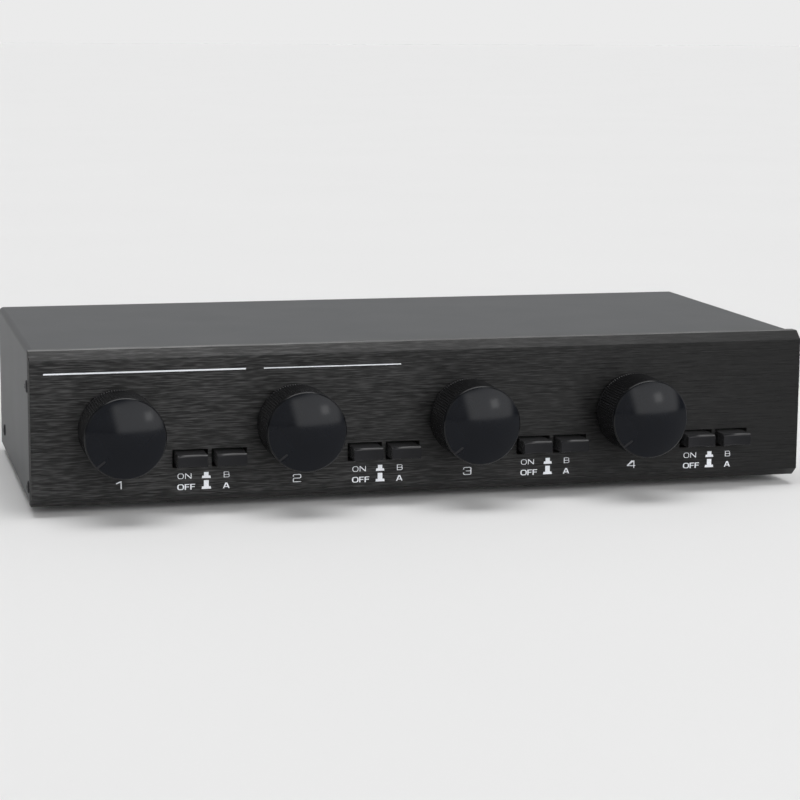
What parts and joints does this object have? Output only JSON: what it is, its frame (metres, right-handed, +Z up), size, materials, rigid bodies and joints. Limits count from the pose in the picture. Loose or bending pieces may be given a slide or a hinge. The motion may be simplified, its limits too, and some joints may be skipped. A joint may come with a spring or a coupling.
{
  "type": "speaker selector switch",
  "caption": "Wide flat black stereo speaker selector with domed volume knobs, on/off and A/B push buttons, and pull-out wire terminals behind.",
  "frame": {"origin": "on the surface the feet stand on, under the middle of the whole", "axes": "+X to the right seen from the front, +Y from the knobs towards the terminals, +Z up"},
  "size_m": [0.4318, 0.25, 0.0875],
  "materials": {
    "anodised_panel": "black anodised, brushed along its length",
    "case_paint": "satin black powder paint",
    "tray_paint": "satin black powder paint",
    "black_screw": "black oxide, satin",
    "foot_rubber": "moulded, matt",
    "knob_plastic": "satin, smooth dome, fluted side",
    "cap_plastic": "satin",
    "plated_steel": "zinc plated",
    "switch_plastic": "moulded",
    "plunger_plastic": "natural, moulded",
    "circuit_board": "green solder mask",
    "core_steel": "varnished laminations",
    "coil_tape": "wound coil under amber tape",
    "loom_sheath": "grey wires side by side",
    "terminal_plastic": "moulded, satin"
  },
  "bodies": {
    "case": {"front_panel": "anodised_panel", "chassis_tray": "tray_paint", "top_cover": "case_paint", "cover_screws": "black_screw", "rubber_feet": "foot_rubber", "rotary_switches": "switch_plastic", "push_switch_bodies": "switch_plastic", "front_board": "circuit_board", "rear_board": "circuit_board", "board_spacers": "plated_steel", "autoformer_cores": "core_steel", "autoformer_windings": "coil_tape", "autoformer_brackets": "plated_steel", "wire_looms": "loom_sheath", "terminal_headers": "terminal_plastic"},
    "volume_knob_1": {"knob_1": "knob_plastic", "shaft_1": "plated_steel"},
    "volume_knob_2": {"knob_2": "knob_plastic", "shaft_2": "plated_steel"},
    "volume_knob_3": {"knob_3": "knob_plastic", "shaft_3": "plated_steel"},
    "volume_knob_4": {"knob_4": "knob_plastic", "shaft_4": "plated_steel"},
    "on_off_1": {"on_off_button_1": "cap_plastic", "on_off_plunger_1": "plunger_plastic"},
    "a_b_1": {"a_b_button_1": "cap_plastic", "a_b_plunger_1": "plunger_plastic"},
    "on_off_2": {"on_off_button_2": "cap_plastic", "on_off_plunger_2": "plunger_plastic"},
    "a_b_2": {"a_b_button_2": "cap_plastic", "a_b_plunger_2": "plunger_plastic"},
    "on_off_3": {"on_off_button_3": "cap_plastic", "on_off_plunger_3": "plunger_plastic"},
    "a_b_3": {"a_b_button_3": "cap_plastic", "a_b_plunger_3": "plunger_plastic"},
    "on_off_4": {"on_off_button_4": "cap_plastic", "on_off_plunger_4": "plunger_plastic"},
    "a_b_4": {"a_b_button_4": "cap_plastic", "a_b_plunger_4": "plunger_plastic"},
    "input_plug_a_body": {"input_plug_a": "terminal_plastic"},
    "input_plug_b_body": {"input_plug_b": "terminal_plastic"},
    "output_plug_1_body": {"output_plug_1": "terminal_plastic"},
    "output_plug_2_body": {"output_plug_2": "terminal_plastic"},
    "output_plug_3_body": {"output_plug_3": "terminal_plastic"},
    "output_plug_4_body": {"output_plug_4": "terminal_plastic"}
  },
  "joints": [
    {"name": "volume_1", "type": "hinge", "parent": "case", "child": "volume_knob_1", "pos_m": [-0.1692, -0.0903, 0.0459], "axis": [0, 1, 0], "range_deg": [0, 270]},
    {"name": "volume_2", "type": "hinge", "parent": "case", "child": "volume_knob_2", "pos_m": [-0.0742, -0.0903, 0.0459], "axis": [0, 1, 0], "range_deg": [0, 270]},
    {"name": "volume_3", "type": "hinge", "parent": "case", "child": "volume_knob_3", "pos_m": [0.0208, -0.0903, 0.0459], "axis": [0, 1, 0], "range_deg": [0, 270]},
    {"name": "volume_4", "type": "hinge", "parent": "case", "child": "volume_knob_4", "pos_m": [0.1158, -0.0903, 0.0459], "axis": [0, 1, 0], "range_deg": [0, 270]},
    {"name": "press_on_off_1", "type": "slide", "parent": "case", "child": "on_off_1", "axis": [0, 1, 0], "range_m": [0, 0.0035], "stiffness_N_per_m": 300, "springref_m": -0.003},
    {"name": "press_a_b_1", "type": "slide", "parent": "case", "child": "a_b_1", "axis": [0, 1, 0], "range_m": [0, 0.0035], "stiffness_N_per_m": 300, "springref_m": -0.003},
    {"name": "press_on_off_2", "type": "slide", "parent": "case", "child": "on_off_2", "axis": [0, 1, 0], "range_m": [0, 0.0035], "stiffness_N_per_m": 300, "springref_m": -0.003},
    {"name": "press_a_b_2", "type": "slide", "parent": "case", "child": "a_b_2", "axis": [0, 1, 0], "range_m": [0, 0.0035], "stiffness_N_per_m": 300, "springref_m": -0.003},
    {"name": "press_on_off_3", "type": "slide", "parent": "case", "child": "on_off_3", "axis": [0, 1, 0], "range_m": [0, 0.0035], "stiffness_N_per_m": 300, "springref_m": -0.003},
    {"name": "press_a_b_3", "type": "slide", "parent": "case", "child": "a_b_3", "axis": [0, 1, 0], "range_m": [0, 0.0035], "stiffness_N_per_m": 300, "springref_m": -0.003},
    {"name": "press_on_off_4", "type": "slide", "parent": "case", "child": "on_off_4", "axis": [0, 1, 0], "range_m": [0, 0.0035], "stiffness_N_per_m": 300, "springref_m": -0.003},
    {"name": "press_a_b_4", "type": "slide", "parent": "case", "child": "a_b_4", "axis": [0, 1, 0], "range_m": [0, 0.0035], "stiffness_N_per_m": 300, "springref_m": -0.003},
    {"name": "pull_input_plug_a", "type": "slide", "parent": "case", "child": "input_plug_a_body", "axis": [0, 1, 0], "range_m": [0, 0.012]},
    {"name": "pull_input_plug_b", "type": "slide", "parent": "case", "child": "input_plug_b_body", "axis": [0, 1, 0], "range_m": [0, 0.012]},
    {"name": "pull_output_plug_1", "type": "slide", "parent": "case", "child": "output_plug_1_body", "axis": [0, 1, 0], "range_m": [0, 0.012]},
    {"name": "pull_output_plug_2", "type": "slide", "parent": "case", "child": "output_plug_2_body", "axis": [0, 1, 0], "range_m": [0, 0.012]},
    {"name": "pull_output_plug_3", "type": "slide", "parent": "case", "child": "output_plug_3_body", "axis": [0, 1, 0], "range_m": [0, 0.012]},
    {"name": "pull_output_plug_4", "type": "slide", "parent": "case", "child": "output_plug_4_body", "axis": [0, 1, 0], "range_m": [0, 0.012]}
  ]
}
